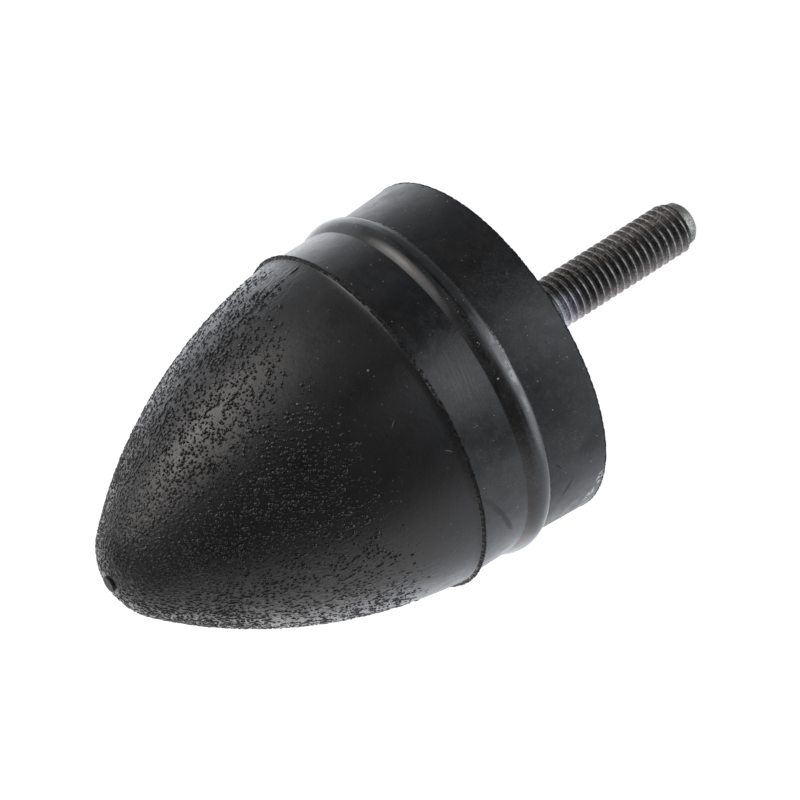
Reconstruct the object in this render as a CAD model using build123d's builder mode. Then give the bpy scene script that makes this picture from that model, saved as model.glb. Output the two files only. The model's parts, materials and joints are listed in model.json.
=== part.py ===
from build123d import *
import os
from math import radians, sqrt, tan

# Rubber buffer with a rounded nose, moulded onto a steel plate that carries a threaded stud
# All sizes are in millimetres. The origin is the centre of the back face, where the buffer seats.
# +Z runs along the axis to the tip of the nose, and the stud leaves the back face along -Z.

# Base, the drafted foot of the moulding behind the rib
base_rear_diameter = 52.6
base_length = 9.85
base_draft_angle = 3.8
base_edge_chamfer = 0.3

# Rib, a round bead with a sharp front foot and a small step down to the base at its rear edge
rib_width = 3.95
rib_bulge = 0.77
rib_rear_step = 0.35

# Band, the smooth collar between the rib and the parting line
band_rear_diameter = 51.55
band_length = 7.55
band_draft_angle = 0.8

# Lip, the thin ring of rubber left along the parting line
lip_diameter = 52.75
lip_root_width = 0.75
lip_rim_width = 0.3

# Nose, an ogive whose flank arc runs tangent into the arc of its tip
nose_root_diameter = 51.6
nose_length = 43.0
nose_flank_radius = 73.5
nose_tip_radius = 9.8

# Gate mark, the little round button where the rubber was fed into the mould
gate_mark_diameter = 2.4
gate_mark_height = 0.3

# Backing plate, bonded flush into the back face with a rim of rubber round it
plate_diameter = 46.0
plate_thickness = 2.5
plate_edge_chamfer = 0.4

# Stud, an M8 screw whose round head lies in the rubber and whose shoulder is pressed into the plate
thread_diameter = 8.0
thread_end_diameter = 5.1
stud_length = 38.2
shoulder_diameter = 9.2
head_diameter = 18.0
head_thickness = 2.4
head_edge_radius = 0.8

# Stations along the axis, counted from the back face
rib_front_z = base_length + rib_width
lip_rear_z = rib_front_z + band_length
nose_root_z = lip_rear_z + lip_root_width
nose_top_z = nose_root_z + nose_length

# Radii of the moulding at those stations
base_rear_radius = base_rear_diameter / 2
base_front_radius = base_rear_radius - base_length * tan(radians(base_draft_angle))
rib_rear_radius = base_front_radius + rib_rear_step
band_rear_radius = band_rear_diameter / 2
band_front_radius = band_rear_radius - band_length * tan(radians(band_draft_angle))
lip_radius = lip_diameter / 2
lip_rim_rear_z = lip_rear_z + (lip_root_width - lip_rim_width) / 2
lip_rim_front_z = lip_rim_rear_z + lip_rim_width
nose_root_radius = nose_root_diameter / 2
gate_mark_radius = gate_mark_diameter / 2

# The flank's centre is one flank radius from the nose's root, and the flank radius less the tip
# radius from the tip's centre, so the two arcs meet with a common tangent
nose_root = Vector(nose_root_radius, nose_root_z)
tip_centre = Vector(0, nose_top_z - nose_tip_radius)
root_to_tip = tip_centre - nose_root
centre_distance = nose_flank_radius - nose_tip_radius
share_along = (nose_flank_radius**2 - centre_distance**2 + root_to_tip.length**2) / 2 / root_to_tip.length
share_across = sqrt(nose_flank_radius**2 - share_along**2)
towards_tip = root_to_tip.normalized()
inwards = Vector(-towards_tip.Y, towards_tip.X)
flank_centre = nose_root + towards_tip * share_along + inwards * share_across
flank_end = tip_centre + (tip_centre - flank_centre).normalized() * nose_tip_radius
flank_middle_direction = (nose_root - flank_centre).normalized() + (flank_end - flank_centre).normalized()
flank_middle = flank_centre + flank_middle_direction.normalized() * nose_flank_radius
gate_mark_foot = Vector(gate_mark_radius, tip_centre.Y + sqrt(nose_tip_radius**2 - gate_mark_radius**2))
gate_mark_top_z = nose_top_z + gate_mark_height

os.makedirs("parts", exist_ok=True)

# Threaded stud: one turned piece, with its thread drawn here as a plain shank of the major diameter
with BuildPart() as threaded_stud:
    with BuildSketch(Plane.XY.offset(-stud_length)):
        Circle(thread_diameter / 2)
    extrude(amount=stud_length)
    free_end_rim = threaded_stud.edges().filter_by(GeomType.CIRCLE).sort_by(Axis.Z)[0]
    chamfer(free_end_rim, (thread_diameter - thread_end_diameter) / 2)
    with BuildSketch(Plane.XY):
        Circle(shoulder_diameter / 2)
    extrude(amount=plate_thickness)
    with BuildSketch(Plane.XY.offset(plate_thickness)):
        Circle(head_diameter / 2)
    extrude(amount=head_thickness)
    head_front_rim = threaded_stud.edges().filter_by(GeomType.CIRCLE).sort_by(Axis.Z)[-1]
    fillet(head_front_rim, head_edge_radius)
threaded_stud.part.label = "threaded_stud"
export_step(threaded_stud.part, "parts/threaded_stud.step")

# Backing plate: a stamped disc with a hole for the shoulder and a broken edge on its rubber side
with BuildPart() as backing_plate:
    with BuildSketch(Plane.XY):
        Circle(plate_diameter / 2)
    extrude(amount=plate_thickness)
    plate_front_rim = backing_plate.edges().filter_by(GeomType.CIRCLE).sort_by(Axis.Z)[-1]
    chamfer(plate_front_rim, plate_edge_chamfer)
    with Locations((0, 0, plate_thickness)):
        Hole(shoulder_diameter / 2)
backing_plate.part.label = "backing_plate"
export_step(backing_plate.part, "parts/backing_plate.step")

# Rubber body: one moulding, revolved from its full outline and closed round the plate and the head
with BuildPart() as rubber_body:
    with BuildSketch(Plane.XZ):
        with BuildLine():
            back_face = Line((0, 0), (base_rear_radius, 0))
            base_flank = Line(back_face @ 1, (base_front_radius, base_length))
            rib_step = Line(base_flank @ 1, (rib_rear_radius, base_length))
            rib_bead = SagittaArc(rib_step @ 1, (band_rear_radius, rib_front_z), -rib_bulge)
            band = Line(rib_bead @ 1, (band_front_radius, lip_rear_z))
            lip_rear = Line(band @ 1, (lip_radius, lip_rim_rear_z))
            lip_rim = Line(lip_rear @ 1, (lip_radius, lip_rim_front_z))
            lip_front = Line(lip_rim @ 1, nose_root)
            flank = ThreePointArc(lip_front @ 1, flank_middle, flank_end)
            tip = TangentArc(flank @ 1, gate_mark_foot, tangent=flank % 1)
            gate_mark_wall = Line(tip @ 1, (gate_mark_radius, gate_mark_top_z))
            gate_mark_face = Line(gate_mark_wall @ 1, (0, gate_mark_top_z))
            axis_line = Line(gate_mark_face @ 1, back_face @ 0)
        make_face()
    revolve(axis=Axis.Z)
    back_rim = rubber_body.edges().filter_by(GeomType.CIRCLE).sort_by(Axis.Z)[0]
    chamfer(back_rim, base_edge_chamfer)
    add(backing_plate.part, mode=Mode.SUBTRACT)
    add(threaded_stud.part, mode=Mode.SUBTRACT)
rubber_body.part.label = "rubber_body"
export_step(rubber_body.part, "parts/rubber_body.step")
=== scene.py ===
import json
from math import atan2, cos, pi, radians, sin, sqrt

import bmesh
import bpy
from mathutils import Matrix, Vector

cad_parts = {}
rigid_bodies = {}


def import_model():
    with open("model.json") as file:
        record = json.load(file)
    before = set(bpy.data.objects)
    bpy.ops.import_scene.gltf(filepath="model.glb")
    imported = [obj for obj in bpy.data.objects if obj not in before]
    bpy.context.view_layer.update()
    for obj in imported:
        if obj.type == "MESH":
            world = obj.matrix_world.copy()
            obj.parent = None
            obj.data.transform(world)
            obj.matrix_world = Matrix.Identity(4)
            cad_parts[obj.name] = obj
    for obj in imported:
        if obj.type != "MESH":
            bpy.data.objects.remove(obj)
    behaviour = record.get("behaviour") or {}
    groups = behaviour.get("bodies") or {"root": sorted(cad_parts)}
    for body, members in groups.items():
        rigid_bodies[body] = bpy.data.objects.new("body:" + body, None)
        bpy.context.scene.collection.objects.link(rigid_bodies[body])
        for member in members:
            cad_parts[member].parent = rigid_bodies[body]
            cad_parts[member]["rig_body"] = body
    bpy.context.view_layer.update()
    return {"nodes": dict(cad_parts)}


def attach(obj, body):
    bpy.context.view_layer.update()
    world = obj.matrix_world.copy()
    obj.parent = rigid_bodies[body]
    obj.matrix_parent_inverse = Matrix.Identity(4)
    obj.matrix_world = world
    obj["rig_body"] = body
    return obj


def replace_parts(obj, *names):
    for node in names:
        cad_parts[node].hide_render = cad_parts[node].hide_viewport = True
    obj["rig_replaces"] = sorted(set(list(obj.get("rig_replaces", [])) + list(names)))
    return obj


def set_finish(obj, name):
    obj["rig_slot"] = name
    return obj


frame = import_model()

# Rubber moulding
# The real piece is one hot-pressed moulding of black natural rubber, bonded onto a steel plate.
# It has a rounded nose, a parting line, a smooth band, a round rib and a drafted base.
MM = 0.001
BODY_SEGMENTS = 256
SMOOTH_ANGLE = radians(32)
FAR_CORNERS = ((0.0613, 0.0237, 0.0719), (-0.0337, 0.0591, -0.0453), (0.0471, -0.0829, 0.0167))


def deselect_all():
    if bpy.context.object and bpy.context.object.mode != "OBJECT":
        bpy.ops.object.mode_set(mode="OBJECT")
    bpy.ops.object.select_all(action="DESELECT")


def settle_order():
    """Puts the edges and faces in edit mode in one fixed order, because extruding leaves a chance one."""
    bpy.ops.mesh.select_all(action="SELECT")
    for far_corner in FAR_CORNERS:
        bpy.context.scene.cursor.location = far_corner
        bpy.ops.mesh.sort_elements(type="CURSOR_DISTANCE", elements={"EDGE", "FACE"})
    bpy.context.scene.cursor.location = (0, 0, 0)


def raise_rings(outline, unit=MM):
    """Extrudes what is selected through each further (radius, height) of an outline."""
    for (radius, height), (next_radius, next_height) in zip(outline, outline[1:]):
        rise = (0, 0, (next_height - height) * unit)
        bpy.ops.mesh.extrude_region_move(TRANSFORM_OT_translate={"value": rise})
        growth = next_radius / radius
        bpy.ops.transform.resize(value=(growth, growth, 1), center_override=(0, 0, next_height * unit))


def turn(name, outline, segments):
    """Raises a disc into a closed turned piece, through each (radius, height) of its outline in mm."""
    deselect_all()
    radius, height = outline[0]
    bpy.ops.mesh.primitive_circle_add(
        vertices=segments, radius=radius * MM, fill_type="NGON", location=(0, 0, height * MM)
    )
    piece = bpy.context.object
    piece.name = piece.data.name = name
    bpy.ops.object.mode_set(mode="EDIT")
    bpy.ops.mesh.select_mode(type="FACE")
    raise_rings(outline)
    bpy.ops.mesh.select_all(action="SELECT")
    bpy.ops.mesh.normals_make_consistent(inside=False)
    settle_order()
    bpy.ops.object.mode_set(mode="OBJECT")
    bpy.ops.object.transform_apply(location=True, rotation=True, scale=True)
    return piece


def arc_points(centre, radius, start_angle, end_angle, steps):
    """Points of an arc in the (radius, height) plane, both ends included."""
    points = []
    for step in range(steps + 1):
        angle = start_angle + (end_angle - start_angle) * step / steps
        points.append((centre[0] + radius * cos(angle), centre[1] + radius * sin(angle)))
    return points


def angle_from(centre, point):
    return atan2(point[1] - centre[1], point[0] - centre[0])


# The pocket for the plate and the stud's head, then the flat rim round the plate
POCKET_OUTLINE = [(8.2, 4.9), (8.77, 4.67), (9.0, 4.1), (9.0, 2.5), (22.6, 2.5), (23.0, 2.1), (23.0, 0.0)]
BASE_OUTLINE = [(26.0, 0.0), (26.13, 0.04), (26.24, 0.13), (26.27, 0.3), (25.646, 9.85)]
RIB_REAR = (25.996, 9.85)
RIB_FRONT = (25.775, 13.8)
RIB_BULGE = 0.77
BAND_FRONT = (25.670, 21.35)
LIP_OUTLINE = [(25.74, 21.42), (26.1, 21.56), (26.2, 21.66), (26.1, 21.8), (25.92, 21.93), (25.83, 22.1)]
NOSE_ROOT = (25.8, 22.1)
NOSE_TOP = 65.1
FLANK_RADIUS = 73.5
FLANK_STEPS = 48
TIP_RADIUS = 9.8
BEND_STEPS = 14
# The short stump of the gate, through which the mould was filled, stands on the tip
GATE_RADIUS = 1.2
GATE_TOP = 65.4
GATE_EDGE = 0.06

rib_chord = Vector(RIB_FRONT) - Vector(RIB_REAR)
rib_radius = (rib_chord.length_squared / 4 + RIB_BULGE**2) / (2 * RIB_BULGE)
rib_outwards = Vector((rib_chord.y, -rib_chord.x)).normalized()
rib_centre = (Vector(RIB_REAR) + Vector(RIB_FRONT)) / 2 - rib_outwards * (rib_radius - RIB_BULGE)
rib_outline = arc_points(
    rib_centre, rib_radius, angle_from(rib_centre, RIB_REAR), angle_from(rib_centre, RIB_FRONT), BEND_STEPS
)

tip_centre = Vector((0, NOSE_TOP - TIP_RADIUS))
root_to_tip = tip_centre - Vector(NOSE_ROOT)
centre_distance = FLANK_RADIUS - TIP_RADIUS
along = (FLANK_RADIUS**2 - centre_distance**2 + root_to_tip.length_squared) / (2 * root_to_tip.length)
across = sqrt(FLANK_RADIUS**2 - along**2)
towards_tip = root_to_tip.normalized()
flank_centre = Vector(NOSE_ROOT) + towards_tip * along + Vector((-towards_tip.y, towards_tip.x)) * across
flank_end = tip_centre + (tip_centre - flank_centre).normalized() * TIP_RADIUS
gate_foot = (GATE_RADIUS, tip_centre.y + sqrt(TIP_RADIUS**2 - GATE_RADIUS**2))
flank_outline = arc_points(
    flank_centre, FLANK_RADIUS, angle_from(flank_centre, NOSE_ROOT), angle_from(flank_centre, flank_end),
    FLANK_STEPS,
)
tip_outline = arc_points(
    tip_centre, TIP_RADIUS, angle_from(tip_centre, flank_end), angle_from(tip_centre, gate_foot), BEND_STEPS
)
gate_outline = [(GATE_RADIUS, GATE_TOP - GATE_EDGE), (GATE_RADIUS - GATE_EDGE, GATE_TOP)]

body_outline = (
    POCKET_OUTLINE + BASE_OUTLINE + rib_outline + [BAND_FRONT] + LIP_OUTLINE
    + flank_outline[1:] + tip_outline[1:] + gate_outline
)
moulding = turn("rubber_moulding", body_outline, BODY_SEGMENTS)
bpy.ops.object.shade_smooth_by_angle(angle=SMOOTH_ANGLE)


class Nodes:
    """Adds nodes to one material, world or scatter, each with its links and values."""

    def __init__(self, tree):
        self.tree = tree
        self.column = 0

    def add(self, kind, inputs=None, **settings):
        node = self.tree.nodes.new(kind)
        node.location = (self.column * 180, 0)
        self.column += 1
        for key, value in settings.items():
            setattr(node, key, value)
        for socket, value in (inputs or {}).items():
            if isinstance(value, bpy.types.NodeSocket):
                self.tree.links.new(value, node.inputs[socket])
            else:
                node.inputs[socket].default_value = value
        return node

    def math(self, operation, first, second=0.0, third=0.0):
        node = self.add("ShaderNodeMath", {0: first, 1: second, 2: third}, operation=operation)
        return node.outputs[0]

    def join(self, operation, values):
        joined = values[0]
        for value in values[1:]:
            joined = self.math(operation, joined, value)
        return joined

    def times(self, *values):
        return self.join("MULTIPLY", values)

    def plus(self, *values):
        return self.join("ADD", values)

    def most(self, *values):
        return self.join("MAXIMUM", values)

    def vector(self, operation, first, second=(0, 0, 0)):
        node = self.add("ShaderNodeVectorMath", {0: first, 1: second}, operation=operation)
        return node.outputs["Value" if operation in ("LENGTH", "DOT_PRODUCT") else "Vector"]

    def parts(self, vector):
        return self.add("ShaderNodeSeparateXYZ", {0: vector}).outputs

    def ramp(self, value, low, high, to_low=0.0, to_high=1.0, smooth=True):
        node = self.add(
            "ShaderNodeMapRange",
            {"Value": value, "From Min": low, "From Max": high, "To Min": to_low, "To Max": to_high},
            interpolation_type="SMOOTHSTEP" if smooth else "LINEAR",
        )
        return node.outputs["Result"]

    def noise(self, place, scale, detail, roughness):
        node = self.add(
            "ShaderNodeTexNoise",
            {"Vector": place, "Scale": scale, "Detail": detail, "Roughness": roughness},
        )
        return node.outputs["Fac"]

    def stretch(self, place, scale, turn_by=(0, 0, 0)):
        node = self.add("ShaderNodeMapping", {"Vector": place, "Rotation": turn_by, "Scale": scale})
        return node.outputs["Vector"]

    def blend(self, factor, first, second):
        """Lays the second colour over the first. A colour is three numbers or comes from another node."""
        first, second = (
            tone if isinstance(tone, bpy.types.NodeSocket) else (*tone, 1) for tone in (first, second)
        )
        node = self.add(
            "ShaderNodeMix", {0: factor, 6: first, 7: second}, data_type="RGBA", clamp_factor=True
        )
        return node.outputs[2]

    def coats(self, tone, *layers):
        """Lays one (share, colour) after another over a tone."""
        for share, colour in layers:
            tone = self.blend(share, tone, colour)
        return tone

    def bump(self, strength, distance, height, under=None):
        inputs = {"Strength": strength, "Distance": distance, "Height": height}
        if under:
            inputs["Normal"] = under
        return self.add("ShaderNodeBump", inputs).outputs["Normal"]

    def surface(self, inputs):
        """Ends a material with one Principled shader."""
        shader = self.add("ShaderNodeBsdfPrincipled", inputs)
        self.add("ShaderNodeOutputMaterial", {"Surface": shader.outputs["BSDF"]})


def new_material(name):
    material = bpy.data.materials.new(name)
    material.use_nodes = True
    material.node_tree.nodes.clear()
    return material, Nodes(material.node_tree)


rubber, draw = new_material("black_rubber_skin")
place = draw.add("ShaderNodeTexCoord").outputs["Object"]
parts = draw.parts(place)
height = parts["Z"]
on_nose = draw.ramp(height, 0.0218, 0.0223)
on_collar = draw.math("SUBTRACT", 1.0, on_nose)
patches = draw.noise(place, 90.0, 3.0, 0.55)
cloud = draw.noise(place, 420.0, 4.0, 0.6)
ragged = draw.noise(place, 700.0, 3.0, 0.6)


def mark(start, end, width, hard=0.5):
    """A smudge or a scratch between two places in mm. It is 1 along its middle and 0 outside."""
    start, end = Vector(start) * MM, Vector(end) * MM
    tilt = (end - start).to_track_quat("X", "Z").to_euler()
    node = draw.add(
        "ShaderNodeMapping",
        {
            "Vector": place, "Location": (start + end) / 2, "Rotation": tilt,
            "Scale": ((end - start).length / 2, width * MM / 2, width * MM / 2),
        },
        vector_type="TEXTURE",
    )
    spread = draw.vector("LENGTH", node.outputs["Vector"])
    uneven = draw.plus(spread, draw.times(draw.math("SUBTRACT", ragged, 0.5), 0.5))
    return draw.ramp(uneven, hard, 1.0, 1.0, 0.0)


def dots(scale, largest, share, squeeze=(1, 1, 1), tilt=(0, 0, 0)):
    """Loose specks, each of its own strength, in a share of cells that are 1/scale metres wide."""
    stretched = draw.stretch(place, squeeze, tilt)
    cells = draw.add("ShaderNodeTexVoronoi", {"Vector": stretched, "Scale": scale})
    drawn = draw.add("ShaderNodeSeparateColor", {0: cells.outputs["Color"]}).outputs
    reach = draw.ramp(drawn[1], 0.0, 1.0, largest * 0.4, largest, smooth=False)
    near = draw.ramp(draw.math("DIVIDE", cells.outputs["Distance"], reach), 0.5, 1.0, 1.0, 0.0)
    near = draw.times(near, draw.ramp(drawn[2], 0.0, 1.0, 0.15, 1.0, smooth=False))
    return draw.times(near, draw.math("LESS_THAN", drawn[0], share))


# White dust and lint, thinner on the nose, and the chipped edge of the base
specks = draw.most(dots(1400.0, 0.16, 0.5), dots(620.0, 0.12, 0.45))
lint = draw.most(
    dots(700.0, 0.06, 0.45, (0.2, 1, 1), (0.6, 0.9, 0.3)),
    dots(600.0, 0.05, 0.45, (1, 1, 0.14), (0.5, -0.4, 0.8)),
)
dust = draw.times(
    draw.most(specks, draw.times(lint, 0.8)),
    draw.ramp(cloud, 0.42, 0.62, 0.12, 1.0),
    draw.ramp(on_nose, 0.0, 1.0, 1.0, 0.45, smooth=False),
)
chipped = draw.times(
    draw.most(
        mark((-22.7, -13.3, 0.5), (-24.6, -9.2, 1.2), 1.6, 0.3),
        mark((-24.4, -9.6, 1.2), (-25.7, -5.2, 2.4), 2.0, 0.3),
    ),
    draw.ramp(draw.noise(place, 1700.0, 3.0, 0.7), 0.52, 0.58),
)

# The grey film that the mould's release wax left on the base, the rib and the band
blotches = draw.ramp(draw.noise(place, 210.0, 4.0, 0.6), 0.38, 0.66)
powder = draw.ramp(draw.noise(place, 2900.0, 3.0, 0.7), 0.42, 0.68)
cloudy_film = draw.times(
    draw.ramp(draw.noise(place, 230.0, 8.0, 0.72), 0.43, 0.59),
    draw.ramp(patches, 0.40, 0.56, 0.2, 0.95),
    draw.plus(draw.times(powder, 0.8), 0.2),
    on_collar,
    0.92,
)
spots = draw.times(
    draw.ramp(draw.noise(place, 560.0, 4.0, 0.65), 0.49, 0.60, 0.0, 0.5),
    draw.times(on_collar, draw.ramp(powder, 0.0, 1.0, 0.5, 1.0)),
)
# The film thins out towards +X, which leaves that side darker
film_thinned_towards_x = draw.ramp(parts["X"], 0.003, 0.011, 1.0, 0.28)
film = draw.times(draw.most(cloudy_film, spots), film_thinned_towards_x)
hazy = draw.most(
    mark((6.0, -25.0, 7.5), (-2.0, -26.0, 2.5), 7.0, 0.1),
    mark((-17.0, -19.5, 6.5), (-24.0, -10.0, 1.0), 5.5, 0.1),
)

# Scuffs that run round the band, a slanting rubbed patch, dark smudges and single scratches
around = draw.noise(draw.stretch(place, (110.0, 110.0, 3200.0)), 1.0, 3.0, 0.6)
scuffs = draw.times(draw.ramp(around, 0.54, 0.76), draw.times(on_collar, blotches))
slanting = draw.add(
    "ShaderNodeMapping",
    {"Vector": place, "Rotation": (0, radians(9), 0), "Scale": (0.005, 0.005, 0.00022)},
    vector_type="TEXTURE",
)
rubbed = mark((5.5, -25.2, 16.0), (-7.5, -24.8, 18.5), 8.0, 0.1)
scratched = draw.times(
    draw.ramp(draw.noise(slanting.outputs["Vector"], 1.0, 4.0, 0.7), 0.47, 0.60), rubbed
)
smudges = draw.times(mark((-20.6, -16.2, 4.4), (-16.6, -20.4, 0.2), 5.0, 0.0), 0.7)
for start, end, width, strength in (
    ((-23.6, -11.0, 8.0), (-17.6, -19.2, 2.4), 0.9, 0.8),
    ((-16.6, -19.6, 21.6), (-19.6, -16.9, 18.5), 1.0, 0.7),
    ((-18.0, -18.4, 20.2), (-21.4, -14.5, 17.3), 1.2, 0.8),
    ((-19.6, -16.6, 18.6), (-23.6, -11.0, 16.2), 1.2, 0.8),
    ((-18.4, -18.0, 8.7), (-19.8, -16.6, 7.5), 0.3, 0.8),
):
    smudges = draw.most(smudges, draw.times(mark(start, end, width), strength))
scratches = draw.most(
    mark((-8.2, -24.2, 24.6), (-9.6, -23.8, 22.9), 0.16),
    mark((-1.2, -24.6, 29.4), (-1.5, -24.7, 28.1), 0.12),
    mark((-2.6, -24.4, 29.0), (-1.7, -24.7, 28.0), 0.1),
    mark((19.75, -13.9, 30.5), (20.0, -13.7, 30.2), 0.35),
)

# Grey streaks on the rear edge of the rib, painted as a highlight with a frosted mottle, with the line where
# the flash was torn off
rib_painted_sheen_and_flash = draw.times(
    draw.most(
        draw.times(mark((2.6, -26.3, 10.6), (-2.6, -26.3, 10.7), 1.2, 0.2), 0.4),
        mark((-2.0, -26.4, 10.7), (-7.6, -25.4, 10.8), 1.5, 0.35),
        draw.times(mark((-7.2, -25.6, 10.8), (-11.6, -23.9, 10.9), 1.2, 0.2), 0.5),
    ),
    draw.ramp(draw.noise(place, 1100.0, 4.0, 0.7), 0.44, 0.54, 0.1, 1.0),
)
torn_line = draw.times(
    mark((1.2, -26.2, 10.2), (-4.4, -25.8, 10.0), 0.6, 0.5),
    draw.ramp(draw.noise(place, 1500.0, 3.0, 0.7), 0.42, 0.48),
)
rib_painted_sheen_and_flash = draw.most(rib_painted_sheen_and_flash, torn_line)

tone = draw.coats(
    draw.blend(draw.ramp(patches, 0.35, 0.7), (0.0034, 0.0038, 0.0047), (0.0068, 0.0064, 0.0064)),
    (film, (0.045, 0.0485, 0.0505)),
    (draw.times(hazy, draw.plus(draw.times(powder, 0.5), 0.1)), (0.030, 0.0345, 0.0385)),
    (draw.times(rubbed, 0.75), (0.020, 0.0192, 0.0145)),
    (draw.times(scratched, 0.55), (0.055, 0.054, 0.048)),
    # Painted highlight streaks on the rib, with the pale torn flash line
    (draw.times(rib_painted_sheen_and_flash, 0.85), (0.42, 0.425, 0.43)),
    (draw.times(smudges, 0.85), (0.004, 0.004, 0.004)),
    (draw.times(scuffs, 0.05), (0.05, 0.05, 0.05)),
    (draw.times(dust, 0.9), (0.62, 0.62, 0.61)),
    (draw.times(scratches, 0.6), (0.3, 0.3, 0.3)),
    (chipped, (0.8, 0.8, 0.79)),
)

nose_rough = draw.ramp(cloud, 0.3, 0.7, 0.24, 0.34)
on_base = draw.ramp(height, 0.0097, 0.0100, 1.0, 0.0)
on_rib = draw.times(draw.ramp(height, 0.0100, 0.0104), draw.ramp(height, 0.0132, 0.0137, 1.0, 0.0))
on_gate = draw.ramp(height, 0.0651, 0.0653, 0.0, 0.3)
collar_rough = draw.plus(
    draw.ramp(cloud, 0.3, 0.7, 0.16, 0.23),
    draw.times(scuffs, 0.05),
    draw.times(blotches, 0.06),
    draw.times(scratched, 0.12),
    draw.times(on_base, 0.12),
)
collar_rough = draw.math("SUBTRACT", collar_rough, draw.times(on_rib, 0.05))
both_rough = draw.add("ShaderNodeMix", {0: on_nose, 2: collar_rough, 3: nose_rough}).outputs[0]
both_rough = draw.plus(both_rough, draw.times(smudges, 0.34), on_gate, draw.times(dust, 0.5))
both_rough = draw.math("MINIMUM", both_rough, 0.9)

fine = draw.noise(place, 5200.0, 3.0, 0.6)
medium = draw.noise(place, 1500.0, 2.0, 0.5)
waves = draw.noise(place, 380.0, 2.0, 0.5)
relief = draw.plus(
    draw.times(fine, 0.4),
    medium,
    draw.times(waves, on_collar, 2.2),
    draw.times(scuffs, -0.12),
    draw.times(scratched, -1.0),
)
relief_depth = draw.add("ShaderNodeMix", {0: on_nose, 2: 0.2, 3: 0.5}).outputs[0]
relief_bump = draw.bump(relief_depth, 0.00004, relief)

# The finest grain of the nose, which fades out near its foot and on its two bare sides
BARE_SIDE = radians(8)


def way_round(nodes, spot):
    """How far a place on the nose faces its bare sides, from 0 to 1, and how far it faces right."""
    level_way = nodes.vector("NORMALIZE", nodes.vector("MULTIPLY", spot, (1, 1, 0)))
    bare_way = (sin(BARE_SIDE), -cos(BARE_SIDE), 0)
    facing = nodes.math("ABSOLUTE", nodes.vector("DOT_PRODUCT", level_way, bare_way))
    return facing, nodes.parts(level_way)["X"]


facing, side_turn = way_round(draw, place)
bare_height = draw.plus(
    draw.ramp(facing, 0.3, 0.97, 0.0225, 0.0290), draw.ramp(side_turn, 0.9, 0.6, -0.014, 0.0)
)
above_bare = draw.plus(draw.math("SUBTRACT", height, bare_height), draw.times(patches, 0.012))
sided = draw.times(
    draw.most(draw.ramp(facing, 0.82, 0.54), draw.ramp(height, 0.052, 0.062)),
    draw.most(draw.ramp(side_turn, -0.8, -0.4, 0.62, 1.0), draw.ramp(height, 0.048, 0.060)),
)
pebbled = draw.times(draw.ramp(above_bare, 0.011, 0.021), draw.plus(draw.times(sided, 0.62), 0.22))
pebbles = draw.noise(draw.vector("MULTIPLY", place, (1, 1, 0.26)), 2400.0, 2.0, 0.5)
pebble_bump = draw.bump(pebbled, 0.000045, draw.ramp(pebbles, 0.36, 0.64), relief_bump)
draw.surface({"Base Color": tone, "Roughness": both_rough, "IOR": 1.5, "Normal": pebble_bump})

# The base comes off a duller part of the mould than the band does
BASE_TOP = 9.84

dull_rubber = rubber.copy()
dull_rubber.name = "black_rubber_base"
dull_rubber.node_tree.nodes["Principled BSDF"].inputs["Specular IOR Level"].default_value = 0.35
moulding.data.materials.append(rubber)
moulding.data.materials.append(dull_rubber)
bpy.ops.object.mode_set(mode="EDIT")
bpy.ops.mesh.select_mode(type="FACE")
edit_mesh = bmesh.from_edit_mesh(moulding.data)
for face in edit_mesh.faces:
    face.select = face.calc_center_median().z < BASE_TOP * MM
bmesh.update_edit_mesh(moulding.data)
moulding.active_material_index = 1
bpy.ops.object.material_slot_assign()
bpy.ops.object.mode_set(mode="OBJECT")
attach(moulding, "root")
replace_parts(moulding, "rubber_body")
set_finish(moulding, "black_rubber")

# Parting flash
# Thin torn fins of rubber that the mould squeezed out along its parting lines, part of the moulding.
# They stand at the foot of the nose, on the rear edge of the rib and on the rear edge of the base.
FLASH_SEGMENTS = 720
MERGE_REACH = 0.001 * MM

torn_edge, draw = new_material("torn_rubber_edge")
place = draw.add("ShaderNodeTexCoord").outputs["Object"]
ragged = draw.noise(place, 700.0, 3.0, 0.6)
chalky = draw.ramp(draw.noise(place, 2000.0, 5.0, 0.75), 0.44, 0.60)
bruised = draw.most(
    mark((24.0, -11.0, 9.9), (17.0, -20.0, 9.9), 3.0, 0.1),
    mark((3.5, -26.1, 9.9), (-4.5, -25.8, 9.9), 3.0, 0.1),
    draw.times(mark((6.0, -25.6, 21.8), (-5.5, -25.7, 21.8), 3.5, 0.1), 0.3),
    mark((-21.0, -16.0, 0.0), (-26.0, -4.0, 0.0), 5.0, 0.1),
)
torn_tone = draw.blend(
    draw.times(chalky, draw.most(bruised, 0.05)), (0.0055, 0.0056, 0.0058), (0.42, 0.42, 0.41)
)
draw.surface({
    "Base Color": torn_tone,
    "Roughness": draw.ramp(chalky, 0.0, 1.0, 0.46, 0.6),
    "Normal": draw.bump(0.9, 0.00009, draw.noise(place, 2600.0, 4.0, 0.7)),
    "Specular IOR Level": 0.16,
})


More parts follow.
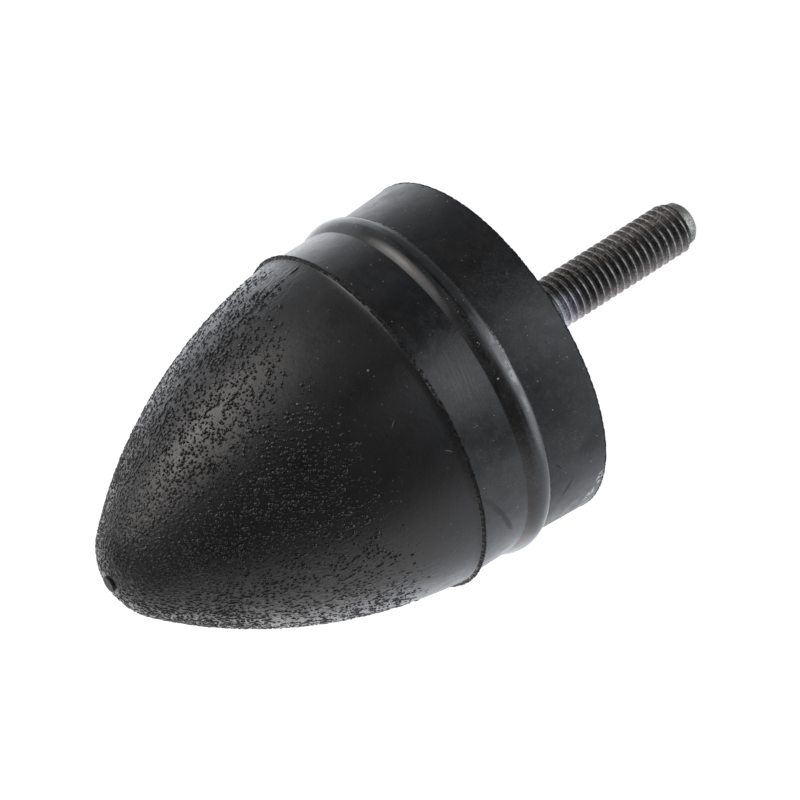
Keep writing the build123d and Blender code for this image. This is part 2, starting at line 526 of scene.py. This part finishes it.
def flash_ring(name, section, ragged_radius, raggedness, seed):
    """A thin closed ring turned from its section in mm, with its outer edge left ragged."""
    deselect_all()
    radius, height = section[0]
    bpy.ops.mesh.primitive_circle_add(
        vertices=FLASH_SEGMENTS, radius=radius * MM, fill_type="NOTHING", location=(0, 0, height * MM)
    )
    ring = bpy.context.object
    ring.name = ring.data.name = name
    bpy.ops.object.mode_set(mode="EDIT")
    bpy.ops.mesh.select_mode(type="EDGE")
    raise_rings(section + section[:1])
    bpy.ops.mesh.select_all(action="SELECT")
    bpy.ops.mesh.remove_doubles(threshold=MERGE_REACH)
    bpy.ops.mesh.normals_make_consistent(inside=False)
    bpy.ops.mesh.select_mode(type="VERT")
    bpy.ops.mesh.select_all(action="DESELECT")
    edit_mesh = bmesh.from_edit_mesh(ring.data)
    for vertex in edit_mesh.verts:
        vertex.select = Vector(vertex.co[:2]).length > ragged_radius * MM
    bmesh.update_edit_mesh(ring.data)
    bpy.ops.transform.vertex_random(offset=raggedness * MM, uniform=0.3, normal=0.7, seed=seed)
    settle_order()
    bpy.ops.object.mode_set(mode="OBJECT")
    bpy.ops.object.transform_apply(location=True, rotation=True, scale=True)
    bpy.ops.object.shade_smooth_by_angle(angle=radians(50))
    ring.data.materials.append(torn_edge)
    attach(ring, "root")
    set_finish(ring, "black_rubber")


flash_ring(
    "nose_parting_flash",
    [
        (25.9, 21.5), (26.2, 21.52), (26.36, 21.6), (26.37, 21.68), (26.23, 21.77), (26.04, 21.87),
        (25.87, 22.0),
    ],
    ragged_radius=26.0, raggedness=0.06, seed=11,
)
flash_ring(
    "rib_parting_flash",
    [(25.85, 9.97), (25.85, 9.83), (26.02, 9.8), (26.07, 9.86), (26.08, 9.97)],
    ragged_radius=26.0, raggedness=0.025, seed=23,
)
flash_ring(
    "base_rear_flash",
    [(26.0, 0.32), (26.0, 0.06), (26.2, 0.05), (26.29, 0.12), (26.3, 0.26)],
    ragged_radius=26.15, raggedness=0.05, seed=37,
)

# Nose seam
# A fine ridge of rubber up each side of the nose, where the two halves of the mould met.
# It is part of the moulding, and it fades out half way to the tip.
SEAM_AZIMUTH = radians(-29)
SEAM_RADIUS = 0.042
SEAM_SHARE = 0.42
SEAM_SIDES = 6
SEAM_PARTS = 3
SEAM_NARROWING = 1.6

seam_line = flank_outline[: int(len(flank_outline) * SEAM_SHARE)]


def seam_point(station):
    """Place in metres of a point on the nose's outline, on the seam's side."""
    radius, height = station
    return Vector((radius * cos(SEAM_AZIMUTH), radius * sin(SEAM_AZIMUTH), height)) * MM


deselect_all()
bpy.ops.mesh.primitive_circle_add(
    vertices=SEAM_SIDES, radius=SEAM_RADIUS * MM, fill_type="NGON", location=seam_point(seam_line[0])
)
seam = bpy.context.object
seam.name = seam.data.name = "nose_seam_right"
bpy.ops.object.mode_set(mode="EDIT")
bpy.ops.mesh.select_mode(type="FACE")
steps = len(seam_line) - 1
for number in range(steps):
    here, ahead = seam_point(seam_line[number]), seam_point(seam_line[number + 1])
    for part in range(SEAM_PARTS):
        bpy.ops.mesh.extrude_region_move(TRANSFORM_OT_translate={"value": (ahead - here) / SEAM_PARTS})
    narrowing = 1 - SEAM_NARROWING / steps if number > steps / 2 else 1.0
    bpy.ops.transform.resize(value=(narrowing, narrowing, 1), center_override=ahead)
bpy.ops.mesh.select_all(action="SELECT")
bpy.ops.mesh.normals_make_consistent(inside=False)
bpy.ops.mesh.select_mode(type="VERT")
bpy.ops.transform.vertex_random(offset=0.12 * MM, uniform=0.8, normal=0.2, seed=31)
settle_order()
bpy.ops.object.mode_set(mode="OBJECT")
bpy.ops.object.transform_apply(location=True, rotation=True, scale=True)
bpy.ops.object.shade_smooth_by_angle(angle=radians(70))
seam.data.materials.append(rubber)
bpy.ops.object.duplicate(linked=False)
far_seam = bpy.context.object
far_seam.name = far_seam.data.name = "nose_seam_left"
bpy.ops.transform.rotate(value=pi, orient_axis="Z", center_override=(0, 0, 0))
bpy.ops.object.transform_apply(location=True, rotation=True, scale=True)
for ridge in (seam, far_seam):
    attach(ridge, "root")
    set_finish(ridge, "black_rubber")

# Nose grain
# Small round blisters of rubber all over the nose, with fine specks among them, left by the mould's rough
# wall. They are part of the moulding, and thin out towards the parting line, most of all on its bare sides.
LUMP_SIDES = 5
LUMP_FOOT = -0.3
LONG_SHARE = 0.6
DENSITY = 5.0e6


def small_lump(name, rings, seed):
    """One closed lump of unit size. Each (radius, height) is a ring of it, and a point closes its top."""
    deselect_all()
    radius, height = rings[0]
    bpy.ops.mesh.primitive_circle_add(
        vertices=LUMP_SIDES, radius=radius, fill_type="NGON", location=(0, 0, height)
    )
    lump = bpy.context.object
    lump.name = lump.data.name = name
    bpy.ops.object.transform_apply(location=True)
    bpy.ops.object.mode_set(mode="EDIT")
    bpy.ops.mesh.select_mode(type="FACE")
    raise_rings(rings, unit=1)
    bpy.ops.mesh.poke(offset=1.0 - rings[-1][1])
    bpy.ops.mesh.select_mode(type="VERT")
    bpy.ops.mesh.select_all(action="SELECT")
    bpy.ops.transform.vertex_random(offset=0.2, uniform=0.5, normal=0, seed=seed)
    bpy.ops.mesh.normals_make_consistent(inside=False)
    settle_order()
    bpy.ops.object.mode_set(mode="OBJECT")
    bpy.ops.object.shade_smooth_by_angle(angle=radians(80))
    lump.data.materials.append(rubber)
    return lump


def take_up(piece):
    deselect_all()
    piece.select_set(True)
    bpy.context.view_layer.objects.active = piece


def copy_of_nose(name):
    """A copy of the moulding's skin between the foot of the nose and the gate."""
    take_up(moulding)
    bpy.ops.object.duplicate(linked=False)
    skin = bpy.context.object
    skin.name = skin.data.name = name
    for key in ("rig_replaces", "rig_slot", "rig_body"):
        del skin[key]
    bpy.ops.object.mode_set(mode="EDIT")
    bpy.ops.mesh.select_mode(type="FACE")
    edit_mesh = bmesh.from_edit_mesh(skin.data)
    for face in edit_mesh.faces:
        centre_height = face.calc_center_median().z
        face.select = not (NOSE_ROOT[1] + 0.2) * MM < centre_height < (gate_foot[1] - 0.05) * MM
    bmesh.update_edit_mesh(skin.data)
    bpy.ops.mesh.delete(type="FACE")
    bpy.ops.object.mode_set(mode="OBJECT")
    return skin


def grow_on_nose(name, lump, spacing, seed, widths, longest, rises, start, clump_scale):
    """Strews a lump over the nose. Widths and rises are in metres, start is how near the lip it begins."""
    grain = copy_of_nose(name)
    scatter = bpy.data.node_groups.new(name + "_scatter", "GeometryNodeTree")
    scatter.interface.new_socket("Geometry", in_out="INPUT", socket_type="NodeSocketGeometry")
    scatter.interface.new_socket("Geometry", in_out="OUTPUT", socket_type="NodeSocketGeometry")
    lay = Nodes(scatter)

    def random_number(low, high, key):
        inputs = {2: low, 3: high, "Seed": key}
        return lay.add("FunctionNodeRandomValue", inputs, data_type="FLOAT").outputs[1]

    # Where the lumps lie: in clumps and chains, thin near the lip and close together at the tip
    surface = lay.add("NodeGroupInput").outputs[0]
    spot = lay.add("GeometryNodeInputPosition").outputs[0]
    spot_height = lay.parts(spot)["Z"]
    facing, side_turn = way_round(lay, spot)
    behind = lay.ramp(lay.parts(spot)["Y"], 0.0, 0.012, 0.0, 0.026)
    wander = lay.times(lay.math("SUBTRACT", lay.noise(spot, 105.0, 2.0, 0.5), 0.52), behind)
    bare_height = lay.plus(
        lay.ramp(facing, 0.15, 0.97, start, start + 0.0075),
        lay.ramp(side_turn, 0.9, 0.5, -0.0035, 0.0),
        lay.ramp(side_turn, -0.3, -0.9, 0.0, 0.0035),
        wander,
    )
    above_line = lay.ramp(lay.math("SUBTRACT", spot_height, bare_height), -0.0015, 0.0115, -0.3, 0.5)
    clumps = lay.math("MULTIPLY_ADD", lay.noise(spot, clump_scale, 2.0, 0.5), 0.85, 0.07)
    near_tip = lay.ramp(spot_height, 0.046, 0.058, 0.0, 0.6)
    cover = lay.ramp(lay.plus(clumps, above_line, near_tip), 0.3, 0.95)
    strings = lay.noise(lay.vector("MULTIPLY", spot, (1, 1, 0.55)), 760.0, 1.0, 0.5)
    chains = lay.ramp(lay.plus(strings, lay.times(near_tip, 0.25)), 0.32, 0.52)
    thinned = lay.most(
        lay.ramp(side_turn, -0.75, -0.45, 0.8, 1.0), lay.ramp(spot_height, 0.044, 0.055)
    )
    points = lay.add(
        "GeometryNodeDistributePointsOnFaces",
        {
            "Mesh": surface, "Distance Min": spacing, "Density Max": DENSITY,
            "Density Factor": lay.times(cover, chains, thinned), "Seed": seed,
        },
        distribute_method="POISSON",
    )

    # How each lump stands: out from the skin, its length up the nose with a small turn of its own
    outwards = points.outputs["Normal"]
    sideways = lay.vector("CROSS_PRODUCT", (0, 0, 1), outwards)
    upwards = lay.vector("CROSS_PRODUCT", outwards, sideways)
    stand = lay.add(
        "FunctionNodeAxesToRotation", {0: outwards, 1: upwards}, primary_axis="Z", secondary_axis="X"
    ).outputs[0]
    spin = lay.add(
        "FunctionNodeAxisAngleToRotation", {"Axis": (0, 0, 1), "Angle": random_number(-0.45, 0.45, 1)}
    ).outputs[0]
    stand = lay.add("FunctionNodeRotateRotation", {0: stand, 1: spin}, rotation_space="LOCAL").outputs[0]

    # How big each lump is: narrower, longer and flatter on the flanks between the bare sides
    flank = lay.times(lay.ramp(facing, 0.70, 0.42), lay.ramp(spot_height, 0.048, 0.057, 1.0, 0.75))
    flat = lay.most(flank, lay.ramp(spot_height, 0.050, 0.060))
    drawn = lay.math("POWER", random_number(0.0, 1.0, 2), 1.8)
    width = lay.ramp(drawn, 0.0, 1.0, widths[0], widths[1], smooth=False)
    width = lay.times(width, lay.math("SUBTRACT", 1.0, lay.times(flank, 0.48)))
    tall_share = lay.ramp(random_number(0.0, 1.0, 3), 1.0 - LONG_SHARE, 1.0, 1.0, longest, smooth=False)
    tall_share = lay.times(tall_share, lay.plus(1.0, lay.times(flank, 1.2)))
    rise = lay.times(
        random_number(rises[0], rises[1], 4), lay.math("SUBTRACT", 1.0, lay.times(flat, 0.56))
    )
    size = lay.add(
        "ShaderNodeCombineXYZ", {0: lay.times(width, tall_share), 1: width, 2: rise}
    ).outputs[0]
    lump_info = lay.add("GeometryNodeObjectInfo", {"Object": lump, "As Instance": True})
    placed = lay.add(
        "GeometryNodeInstanceOnPoints",
        {
            "Points": points.outputs["Points"], "Instance": lump_info.outputs["Geometry"],
            "Rotation": stand, "Scale": size,
        },
    ).outputs[0]
    real = lay.add("GeometryNodeRealizeInstances", {0: placed}).outputs[0]
    lay.add("NodeGroupOutput", {0: real})

    bpy.ops.object.modifier_add(type="NODES")
    grain.modifiers[-1].node_group = scatter
    bpy.ops.object.modifier_apply(modifier=grain.modifiers[-1].name)
    bpy.data.objects.remove(lump)
    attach(grain, "root")
    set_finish(grain, "black_rubber")


blister = small_lump("blister", [(1.0, LUMP_FOOT), (0.82, 0.42), (0.44, 0.80)], seed=5)
grow_on_nose(
    "nose_grain", blister, spacing=0.00048, seed=4, widths=(0.00015, 0.00042), longest=2.0,
    rises=(0.00016, 0.00033), start=0.0232, clump_scale=260.0,
)
speck = small_lump("speck", [(1.0, LUMP_FOOT), (0.68, 0.6)], seed=8)
grow_on_nose(
    "nose_fine_grain", speck, spacing=0.00029, seed=9, widths=(0.00007, 0.00018), longest=2.3,
    rises=(0.00005, 0.00012), start=0.0222, clump_scale=420.0,
)

# Threaded stud
# The real piece is one steel screw with a rolled M8 thread, chemically blackened.
# Its head lies in the rubber and its shoulder is pressed into the backing plate.
PITCH = 1.25
THREAD_TURNS = 32
THREAD_STEPS = 72
THREAD_PROFILE = [
    (3.29, 0.0), (3.31, 0.09), (3.40, 0.19), (3.94, 0.51), (3.985, 0.56),
    (3.985, 0.69), (3.94, 0.74), (3.40, 1.06), (3.31, 1.16), (3.29, 1.25),
]
STUD_LENGTH = 38.2
STUD_SEGMENTS = 96
CUT_REACH = 0.0001 * MM

deselect_all()
bpy.ops.mesh.primitive_plane_add(size=MM)
thread = bpy.context.object
thread.name = thread.data.name = "screw_thread"
bpy.ops.object.mode_set(mode="EDIT")
bpy.ops.mesh.select_mode(type="VERT")
bpy.ops.mesh.merge(type="CENTER")
start = (THREAD_PROFILE[0][0] * MM, 0, -(STUD_LENGTH + 2 * PITCH) * MM)
bpy.ops.transform.translate(value=start)
for (radius, rise_to), (next_radius, next_rise) in zip(THREAD_PROFILE, THREAD_PROFILE[1:]):
    step = ((next_radius - radius) * MM, 0, (next_rise - rise_to) * MM)
    bpy.ops.mesh.extrude_region_move(TRANSFORM_OT_translate={"value": step})
bpy.ops.object.mode_set(mode="OBJECT")
bpy.ops.object.modifier_add(type="SCREW")
winding = thread.modifiers[-1]
winding.angle = 2 * pi
winding.screw_offset = PITCH * MM
winding.iterations = THREAD_TURNS
winding.steps = winding.render_steps = THREAD_STEPS
winding.use_smooth_shade = True
bpy.ops.object.modifier_apply(modifier=winding.name)
bpy.ops.object.mode_set(mode="EDIT")
bpy.ops.mesh.select_all(action="SELECT")
bpy.ops.mesh.remove_doubles(threshold=MERGE_REACH)
for cut_height, keep_above in ((-(STUD_LENGTH + 0.2), True), (-1.4, False)):
    bpy.ops.mesh.select_all(action="SELECT")
    bpy.ops.mesh.bisect(
        plane_co=(0, 0, cut_height * MM), plane_no=(0, 0, 1), use_fill=True, threshold=CUT_REACH,
        clear_inner=keep_above, clear_outer=not keep_above,
    )
bpy.ops.mesh.select_all(action="SELECT")
bpy.ops.mesh.normals_make_consistent(inside=False)
settle_order()
bpy.ops.object.mode_set(mode="OBJECT")
bpy.ops.object.transform_apply(location=True, rotation=True, scale=True)

envelope = turn(
    "stud_envelope",
    [
        (2.5, -STUD_LENGTH), (2.6, -38.19), (2.95, -37.82), (3.25, -37.5), (3.42, -36.6), (3.6, -36.2),
        (4.0, -35.8), (4.0, -2.6), (3.5, -1.2), (3.5, -1.0),
    ],
    STUD_SEGMENTS,
)
point = turn(
    "stud_point",
    [
        (2.5, -STUD_LENGTH), (2.61, -38.185), (2.96, -37.82), (3.26, -37.49), (3.43, -36.6), (3.45, -36.3),
        (3.1, -35.6),
    ],
    STUD_SEGMENTS,
)
stud = turn(
    "threaded_screw",
    [
        (3.0, -3.0), (3.3, -2.2), (3.55, -1.8), (3.55, 0.0), (4.6, 0.0), (4.6, 2.5), (9.0, 2.5), (9.0, 4.1),
        (8.77, 4.67), (8.2, 4.9),
    ],
    STUD_SEGMENTS,
)


def boolean(piece, tool, operation):
    """Cuts or joins one piece with another, which is then done with."""
    take_up(piece)
    bpy.ops.object.modifier_add(type="BOOLEAN")
    cut = piece.modifiers[-1]
    cut.operation = operation
    cut.object = tool
    cut.solver = "EXACT"
    bpy.ops.object.modifier_apply(modifier=cut.name)
    bpy.data.objects.remove(tool)


boolean(thread, envelope, "INTERSECT")
boolean(thread, point, "UNION")
boolean(stud, thread, "UNION")
bpy.ops.object.shade_smooth_by_angle(angle=radians(35))

steel, draw = new_material("blackened_steel")
place = draw.add("ShaderNodeTexCoord").outputs["Object"]
parts = draw.parts(place)
height, side_way, front_way = parts["Z"], parts["X"], parts["Y"]
radial = draw.vector("LENGTH", draw.vector("MULTIPLY", place, (1, 1, 0)))
crest = draw.ramp(radial, 0.00387, 0.00397)
root = draw.ramp(radial, 0.00335, 0.00352, 1.0, 0.0)
at_point = draw.ramp(height, -0.0366, -0.0361, 1.0, 0.0)
wear = draw.noise(place, 1800.0, 3.0, 0.6)
stain = draw.noise(place, 260.0, 3.0, 0.6)
blotch = draw.noise(place, 900.0, 3.0, 0.65)
speckle = draw.noise(place, 3400.0, 4.0, 0.7)

# Painted light on the thread near the rubber, pale lavender with painted bluish glints, mostly on its front,
# and pale specks there that are partly dust and partly painted glints
painted_light_near_rubber = draw.times(draw.ramp(height, -0.013, -0.003), draw.ramp(blotch, 0.4, 0.6))
painted_bluish_glints = draw.times(
    draw.ramp(height, -0.017, -0.008),
    draw.ramp(side_way, 0.0016, -0.0016),
    draw.ramp(front_way, 0.002, -0.0005, 0.12, 1.0),
)
painted_glints = draw.times(
    draw.most(painted_bluish_glints, draw.times(painted_light_near_rubber, draw.ramp(front_way, 0.002, -0.0005, 0.35, 0.95))),
    draw.ramp(speckle, 0.40, 0.57, 0.15, 1.0),
)
dust_and_painted_speck_glints = draw.times(
    draw.ramp(height, -0.016, -0.004),
    draw.ramp(draw.noise(place, 2100.0, 3.0, 0.75), 0.54, 0.62),
    draw.ramp(front_way, 0.002, -0.0005, 0.3, 1.0),
)
painted_light_and_dust = draw.most(painted_glints, dust_and_painted_speck_glints)

flank_tone = draw.coats(
    draw.blend(draw.ramp(stain, 0.35, 0.65), (0.090, 0.081, 0.076), (0.118, 0.117, 0.116)),
    # Painted shade: the flanks on the +X side are darker
    (draw.ramp(side_way, 0.0003, 0.0022, 0.0, 0.75), (0.030, 0.027, 0.025)),
    # Painted light near the rubber, pale lavender
    (draw.times(painted_light_near_rubber, 0.85), (0.36, 0.36, 0.44)),
    (draw.ramp(speckle, 0.5, 0.36, 0.0, 0.7), (0.035, 0.032, 0.03)),
    (draw.ramp(speckle, 0.5, 0.66, 0.0, 0.48), (0.34, 0.333, 0.33)),
    (draw.times(root, 0.6), (0.09, 0.085, 0.08)),
    # Painted bluish glints on the lower front of the thread
    (draw.times(painted_bluish_glints, draw.ramp(speckle, 0.35, 0.6, 0.25, 1.0)), (0.42, 0.43, 0.53)),
)
crest_wear = draw.times(crest, draw.ramp(draw.noise(place, 1500.0, 4.0, 0.7), 0.38, 0.6, 0.12, 1.0))
point_tone = draw.blend(draw.ramp(speckle, 0.38, 0.6), (0.125, 0.126, 0.114), (0.33, 0.33, 0.308))
steel_tone = draw.coats(
    flank_tone,
    (crest_wear, (0.34, 0.335, 0.33)),
    (at_point, point_tone),
    # Painted glints and painted light near the rubber
    (painted_glints, (0.80, 0.81, 0.90)),
    # Pale specks near the rubber, partly dust and partly painted glints, strongest on the front
    (dust_and_painted_speck_glints, (0.66, 0.67, 0.70)),
)
draw.surface({
    "Base Color": steel_tone,
    # Less metallic where the painted light, glints and dust lie
    "Metallic": draw.math("SUBTRACT", 1.0, draw.times(painted_light_and_dust, 0.8)),
    "Roughness": draw.plus(draw.ramp(wear, 0.3, 0.7, 0.30, 0.44), draw.times(at_point, 0.2)),
    "Normal": draw.bump(0.6, 0.00004, draw.plus(wear, speckle)),
})
stud.data.materials.clear()
stud.data.materials.append(steel)
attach(stud, "root")
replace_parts(stud, "threaded_stud")
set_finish(stud, "stud_steel")

# Backing plate
# The real piece is a stamped steel disc, coated with bonding primer and moulded flush into the rubber.
# The screw's shoulder is pressed into its hole.
plate_metal, draw = new_material("primed_plate_steel")
place = draw.add("ShaderNodeTexCoord").outputs["Object"]
mottle = draw.noise(place, 180.0, 5.0, 0.6)
grains = draw.noise(place, 2200.0, 4.0, 0.7)
radial = draw.vector("LENGTH", draw.vector("MULTIPLY", place, (1, 1, 0)))

# Rubber that bled over the plate's edge, bright metal round the shoulder, and faint scoring
edge_wander = draw.times(draw.noise(place, 420.0, 3.0, 0.6), 0.0024)
bleed = draw.ramp(draw.plus(radial, edge_wander), 0.0226, 0.0233)
pressed = draw.times(draw.ramp(radial, 0.0046, 0.0049), draw.ramp(radial, 0.0062, 0.0056))
lines = draw.noise(draw.stretch(place, (60.0, 2600.0, 60.0), turn_by=(0, 0, 0.5)), 1.0, 3.0, 0.6)
scoring = draw.times(
    draw.ramp(lines, 0.60, 0.70), draw.ramp(draw.noise(place, 150.0, 2.0, 0.5), 0.45, 0.6)
)
plate_tone = draw.coats(
    draw.blend(draw.ramp(mottle, 0.35, 0.65), (0.022, 0.022, 0.023), (0.058, 0.058, 0.061)),
    (draw.ramp(grains, 0.52, 0.66, 0.0, 0.5), (0.11, 0.11, 0.115)),
    (draw.times(scoring, 0.6), (0.20, 0.20, 0.205)),
    (draw.times(pressed, draw.ramp(grains, 0.4, 0.6, 0.2, 0.9)), (0.32, 0.32, 0.33)),
    (bleed, (0.006, 0.006, 0.0065)),
)
plate_height = draw.plus(draw.times(grains, 0.6), draw.noise(place, 1600.0, 3.0, 0.6))
sunk = draw.plus(draw.times(pressed, 3.0), draw.times(scoring, 0.6))
plate_height = draw.plus(draw.math("SUBTRACT", plate_height, sunk), draw.times(bleed, 1.6))
draw.surface({
    "Base Color": plate_tone,
    "Metallic": draw.times(draw.math("SUBTRACT", 1.0, bleed), draw.plus(0.45, draw.times(pressed, 0.5))),
    "Roughness": draw.ramp(mottle, 0.3, 0.7, 0.42, 0.6),
    "Normal": draw.bump(0.5, 0.00006, plate_height),
})
plate = frame["nodes"]["backing_plate"]
plate.data.materials.clear()
plate.data.materials.append(plate_metal)

# Floor
# A plain white table under the stud's end. It shows only the buffer's soft shadow.
FLOOR_WIDTH = 1.6
FLOOR_HEIGHT = -0.0384

deselect_all()
bpy.ops.mesh.primitive_plane_add(size=FLOOR_WIDTH, location=(0, 0, FLOOR_HEIGHT))
floor = bpy.context.object
floor.name = "studio_floor"
floor_white, draw = new_material("floor_white")
seen = draw.add("ShaderNodeLightPath").outputs["Is Camera Ray"]
paper = draw.add("ShaderNodeBsdfDiffuse", {"Color": (0.8, 0.8, 0.8, 1)}).outputs[0]
glow = draw.add("ShaderNodeEmission", {"Color": (1, 1, 1, 1), "Strength": 0.93}).outputs[0]
veil = draw.add("ShaderNodeBsdfDiffuse", {"Color": (0.16, 0.16, 0.16, 1)}).outputs[0]
lit = draw.add("ShaderNodeAddShader", {0: glow, 1: veil}).outputs[0]
floor_look = draw.add("ShaderNodeMixShader", {0: seen, 1: paper, 2: lit}).outputs[0]
draw.add("ShaderNodeOutputMaterial", {"Surface": floor_look})
floor.data.materials.append(floor_white)
floor.visible_glossy = False

# Studio light
# A white studio with a dark camera side, and soft boxes that the rubber reflects.
EVEN_LIGHT = 1.10
LEAST_LIGHT = 0.05

world = bpy.data.worlds.new("studio")
bpy.context.scene.world = world
world.use_nodes = True
world.node_tree.nodes.clear()
draw = Nodes(world.node_tree)
direction = draw.vector("NORMALIZE", draw.add("ShaderNodeTexCoord").outputs["Generated"])


def lobe(strength, azimuth, elevation, inner, outer):
    """A soft round patch of light, or of shade, that fades out from inner to outer degrees off its centre."""
    turned, raised = radians(azimuth), radians(elevation)
    centre = (sin(turned) * cos(raised), -cos(turned) * cos(raised), sin(raised))
    toward = draw.vector("DOT_PRODUCT", direction, centre)
    return draw.ramp(toward, cos(radians(outer)), cos(radians(inner)), 0.0, strength)


level = EVEN_LIGHT
for patch in (
    (-0.88, -33, 19, 2, 56),
    (-0.73, 37, -65, 49, 61),
    (-0.73, 44, 23, 2, 57),
    (2.80, 74, 30, 2, 36),
    (2.30, 80, 26, 2, 15),
    (-0.57, -66, 77, 2, 46),
    (-0.60, 125, 58, 8, 32),
    (-0.54, 99, 20, 41, 50),
    (1.57, -6, -37, 2, 28),
    (0.90, -10, -38, 2, 12),
    (0.91, -154, 7, 7, 32),
    (-0.53, -51, -30, 10, 19),
    (-0.67, 18, -1, 2, 11),
    (2.75, -42, -60, 2, 40),
    (0.60, 145, 3, 28, 37),
):
    level = draw.plus(level, lobe(*patch))
level = draw.most(level, LEAST_LIGHT)
from_below = draw.ramp(draw.parts(direction)["Z"], 0.02, -0.25)
tint = draw.coats(
    draw.blend(from_below, (1.012, 0.978, 0.995), (0.95, 0.995, 1.055)),
    (lobe(1.0, 100, -25, 20, 75), (0.945, 0.982, 1.035)),
    (lobe(1.0, 76, 29, 18, 45), (1.034, 0.997, 0.974)),
)
studio_light = draw.add("ShaderNodeBackground", {"Color": tint, "Strength": level}).outputs[0]
white = draw.add("ShaderNodeBackground", {"Color": (1, 1, 1, 1), "Strength": 1.0}).outputs[0]
camera_ray = draw.add("ShaderNodeLightPath").outputs["Is Camera Ray"]
shown = draw.add("ShaderNodeMixShader", {0: camera_ray, 1: studio_light, 2: white}).outputs[0]
draw.add("ShaderNodeOutputWorld", {"Surface": shown})

# Camera
# A long lens looks at the nose from the front and a little above, as in the photograph.
deselect_all()
bpy.ops.object.camera_add(
    location=(0.0000217, -0.4281078, 0.2004343),
    rotation=(radians(-51.021339), radians(50.849123), radians(-147.891804)),
)
camera = bpy.context.object
camera.name = "photo_camera"
camera.data.lens = 150.6
camera.data.sensor_width = 36.0
camera.data.clip_start = 0.01
camera.data.clip_end = 10.0
bpy.context.scene.camera = camera
bpy.context.scene.view_settings.view_transform = "Standard"
